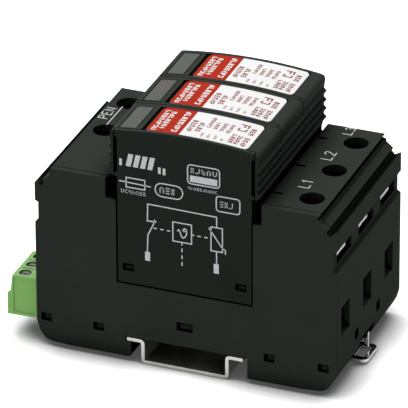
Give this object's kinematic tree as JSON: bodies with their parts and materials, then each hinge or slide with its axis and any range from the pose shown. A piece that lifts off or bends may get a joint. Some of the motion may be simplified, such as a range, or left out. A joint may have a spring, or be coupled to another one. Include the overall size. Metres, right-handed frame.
{
  "type": "rail-mounted surge arrester",
  "caption": "Plug-in surge arrester on a top-hat rail: a wide housing with screw terminals at both ends, pull-out protective plugs, a sprung foot and a small signalling connector.",
  "frame": {"origin": "middle of the back face of the top-hat rail that the device is clipped on", "axes": "+X along the housing's height, towards the phase terminals; +Y along the rail, away from the removable side cover; +Z away from the panel"},
  "size_m": [0.1012, 0.0534, 0.074],
  "materials": {
    "housing_plastic": "fine-grained black moulding",
    "plug_plastic": "satin black moulding",
    "partition_plastic": "plain dark grey moulding",
    "tinned_copper": "tin-plated copper",
    "tinned_blade": "tin-plated copper, drawn",
    "spring_steel": "plain spring wire",
    "clamp_steel": "zinc-plated pressed steel",
    "screw_zinc": "zinc-plated",
    "zinc_rail": "zinc-plated and passivated",
    "plated_sheet": "bright plated sheet",
    "smoked_window": "grey-olive smoked plastic",
    "label_foil": "printed foil",
    "varistor": "epoxy-coated zinc oxide",
    "slider_plastic": "green moulding",
    "signal_header_plastic": "black moulding",
    "circuit_board": "green lacquered laminate",
    "signal_bar_plastic": "natural moulding",
    "green_connector": "green moulding"
  },
  "bodies": {
    "housing": {"base_body": "housing_plastic", "side_cover": "housing_plastic", "partition_1": "partition_plastic", "partition_2": "partition_plastic", "phase_contact_1": "tinned_copper", "phase_contact_2": "tinned_copper", "phase_contact_3": "tinned_copper", "earth_busbar": "tinned_copper", "foot_spring": "spring_steel", "signal_header": "signal_header_plastic", "signal_board": "circuit_board", "microswitch": "signal_header_plastic"},
    "rail": {"din_rail": "zinc_rail"},
    "foot": {"foot_latch": "plated_sheet"},
    "switch_bar": {"signal_bar": "signal_bar_plastic"},
    "connector": {"signal_connector": "green_connector"},
    "small_screw_1": {"signal_screw_1": "screw_zinc"},
    "small_clamp_1": {"signal_clamp_1": "clamp_steel"},
    "small_screw_2": {"signal_screw_2": "screw_zinc"},
    "small_clamp_2": {"signal_clamp_2": "clamp_steel"},
    "small_screw_3": {"signal_screw_3": "screw_zinc"},
    "small_clamp_3": {"signal_clamp_3": "clamp_steel"},
    "terminal_screw_phase_1": {"screw_phase_1": "screw_zinc"},
    "terminal_clamp_phase_1": {"clamp_phase_1": "clamp_steel"},
    "terminal_screw_phase_2": {"screw_phase_2": "screw_zinc"},
    "terminal_clamp_phase_2": {"clamp_phase_2": "clamp_steel"},
    "terminal_screw_phase_3": {"screw_phase_3": "screw_zinc"},
    "terminal_clamp_phase_3": {"clamp_phase_3": "clamp_steel"},
    "terminal_screw_earth_1": {"screw_earth_1": "screw_zinc"},
    "terminal_clamp_earth_1": {"clamp_earth_1": "clamp_steel"},
    "terminal_screw_earth_2": {"screw_earth_2": "screw_zinc"},
    "terminal_clamp_earth_2": {"clamp_earth_2": "clamp_steel"},
    "plug_1": {"plug_casing_1": "plug_plastic", "plug_cover_1": "plug_plastic", "window_1": "smoked_window", "label_1": "label_foil", "varistor_1": "varistor", "earth_blade_1": "tinned_blade", "phase_blade_1": "tinned_blade"},
    "arm_1": {"contact_arm_1": "tinned_blade"},
    "slider_1": {"status_slider_1": "slider_plastic"},
    "plug_2": {"plug_casing_2": "plug_plastic", "plug_cover_2": "plug_plastic", "window_2": "smoked_window", "label_2": "label_foil", "varistor_2": "varistor", "earth_blade_2": "tinned_blade", "phase_blade_2": "tinned_blade"},
    "arm_2": {"contact_arm_2": "tinned_blade"},
    "slider_2": {"status_slider_2": "slider_plastic"},
    "plug_3": {"plug_casing_3": "plug_plastic", "plug_cover_3": "plug_plastic", "window_3": "smoked_window", "label_3": "label_foil", "varistor_3": "varistor", "earth_blade_3": "tinned_blade", "phase_blade_3": "tinned_blade"},
    "arm_3": {"contact_arm_3": "tinned_blade"},
    "slider_3": {"status_slider_3": "slider_plastic"}
  },
  "joints": [
    {"name": "rail_slide", "type": "slide", "parent": "housing", "child": "rail", "axis": [0, 1, 0], "range_m": [-0.05, 0.05]},
    {"name": "foot_slide", "type": "slide", "parent": "housing", "child": "foot", "axis": [1, 0, 0], "range_m": [0, 0.003], "stiffness_N_per_m": 800, "springref_m": -0.002, "deforming": ["foot_spring"]},
    {"name": "signal_bar_slide", "type": "slide", "parent": "housing", "child": "switch_bar", "axis": [-1, 0, 0], "range_m": [0, 0.0015], "stiffness_N_per_m": 100, "springref_m": -0.001},
    {"name": "connector_slide", "type": "slide", "parent": "housing", "child": "connector", "axis": [-1, 0, 0], "range_m": [0, 0.012]},
    {"name": "signal_screw_1_turn", "type": "hinge", "parent": "connector", "child": "small_screw_1", "pos_m": [-0.05, -0.02266, 0.016], "axis": [0, 0, -1], "range_deg": [0, 865]},
    {"name": "signal_clamp_1_lift", "type": "slide", "parent": "connector", "child": "small_clamp_1", "axis": [0, 0, 1], "range_m": [0, 0.0012]},
    {"name": "signal_screw_2_turn", "type": "hinge", "parent": "connector", "child": "small_screw_2", "pos_m": [-0.05, -0.01758, 0.016], "axis": [0, 0, -1], "range_deg": [0, 865]},
    {"name": "signal_clamp_2_lift", "type": "slide", "parent": "connector", "child": "small_clamp_2", "axis": [0, 0, 1], "range_m": [0, 0.0012]},
    {"name": "signal_screw_3_turn", "type": "hinge", "parent": "connector", "child": "small_screw_3", "pos_m": [-0.05, -0.0125, 0.016], "axis": [0, 0, -1], "range_deg": [0, 865]},
    {"name": "signal_clamp_3_lift", "type": "slide", "parent": "connector", "child": "small_clamp_3", "axis": [0, 0, 1], "range_m": [0, 0.0012]},
    {"name": "screw_phase_1_turn", "type": "hinge", "parent": "housing", "child": "terminal_screw_phase_1", "pos_m": [0.0345, -0.0174, 0.04], "axis": [0, 0, -1], "range_deg": [0, 3457]},
    {"name": "clamp_phase_1_lift", "type": "slide", "parent": "housing", "child": "terminal_clamp_phase_1", "axis": [0, 0, 1], "range_m": [0, 0.0096]},
    {"name": "screw_phase_2_turn", "type": "hinge", "parent": "housing", "child": "terminal_screw_phase_2", "pos_m": [0.0345, 0.0004, 0.04], "axis": [0, 0, -1], "range_deg": [0, 3457]},
    {"name": "clamp_phase_2_lift", "type": "slide", "parent": "housing", "child": "terminal_clamp_phase_2", "axis": [0, 0, 1], "range_m": [0, 0.0096]},
    {"name": "screw_phase_3_turn", "type": "hinge", "parent": "housing", "child": "terminal_screw_phase_3", "pos_m": [0.0345, 0.0182, 0.04], "axis": [0, 0, -1], "range_deg": [0, 3457]},
    {"name": "clamp_phase_3_lift", "type": "slide", "parent": "housing", "child": "terminal_clamp_phase_3", "axis": [0, 0, 1], "range_m": [0, 0.0096]},
    {"name": "screw_earth_1_turn", "type": "hinge", "parent": "housing", "child": "terminal_screw_earth_1", "pos_m": [-0.0345, 0.0004, 0.04], "axis": [0, 0, -1], "range_deg": [0, 3457]},
    {"name": "clamp_earth_1_lift", "type": "slide", "parent": "housing", "child": "terminal_clamp_earth_1", "axis": [0, 0, 1], "range_m": [0, 0.0096]},
    {"name": "screw_earth_2_turn", "type": "hinge", "parent": "housing", "child": "terminal_screw_earth_2", "pos_m": [-0.0345, 0.0182, 0.04], "axis": [0, 0, -1], "range_deg": [0, 3457]},
    {"name": "clamp_earth_2_lift", "type": "slide", "parent": "housing", "child": "terminal_clamp_earth_2", "axis": [0, 0, 1], "range_m": [0, 0.0096]},
    {"name": "plug_1_lift", "type": "slide", "parent": "housing", "child": "plug_1", "axis": [0, 0, 1], "range_m": [0, 0.046]},
    {"name": "arm_1_swing", "type": "hinge", "parent": "plug_1", "child": "arm_1", "pos_m": [-0.012, -0.0178, 0.0365], "axis": [0, 1, 0], "range_deg": [0, 15]},
    {"name": "slider_1_slide", "type": "slide", "parent": "plug_1", "child": "slider_1", "axis": [1, 0, 0], "range_m": [0, 0.005]},
    {"name": "plug_2_lift", "type": "slide", "parent": "housing", "child": "plug_2", "axis": [0, 0, 1], "range_m": [0, 0.046]},
    {"name": "arm_2_swing", "type": "hinge", "parent": "plug_2", "child": "arm_2", "pos_m": [-0.012, 0, 0.0365], "axis": [0, 1, 0], "range_deg": [0, 15]},
    {"name": "slider_2_slide", "type": "slide", "parent": "plug_2", "child": "slider_2", "axis": [1, 0, 0], "range_m": [0, 0.005]},
    {"name": "plug_3_lift", "type": "slide", "parent": "housing", "child": "plug_3", "axis": [0, 0, 1], "range_m": [0, 0.046]},
    {"name": "arm_3_swing", "type": "hinge", "parent": "plug_3", "child": "arm_3", "pos_m": [-0.012, 0.0178, 0.0365], "axis": [0, 1, 0], "range_deg": [0, 15]},
    {"name": "slider_3_slide", "type": "slide", "parent": "plug_3", "child": "slider_3", "axis": [1, 0, 0], "range_m": [0, 0.005]}
  ],
  "couplings": [
    {"joint": "signal_screw_1_turn", "follows": "signal_clamp_1_lift", "rad_per_m": 12566},
    {"joint": "signal_screw_2_turn", "follows": "signal_clamp_2_lift", "rad_per_m": 12566},
    {"joint": "signal_screw_3_turn", "follows": "signal_clamp_3_lift", "rad_per_m": 12566},
    {"joint": "screw_phase_1_turn", "follows": "clamp_phase_1_lift", "rad_per_m": 6283.2},
    {"joint": "screw_phase_2_turn", "follows": "clamp_phase_2_lift", "rad_per_m": 6283.2},
    {"joint": "screw_phase_3_turn", "follows": "clamp_phase_3_lift", "rad_per_m": 6283.2},
    {"joint": "screw_earth_1_turn", "follows": "clamp_earth_1_lift", "rad_per_m": 6283.2},
    {"joint": "screw_earth_2_turn", "follows": "clamp_earth_2_lift", "rad_per_m": 6283.2},
    {"joint": "slider_1_slide", "follows": "arm_1_swing", "m_per_rad": 0.019},
    {"joint": "slider_2_slide", "follows": "arm_2_swing", "m_per_rad": 0.019},
    {"joint": "slider_3_slide", "follows": "arm_3_swing", "m_per_rad": 0.019}
  ]
}
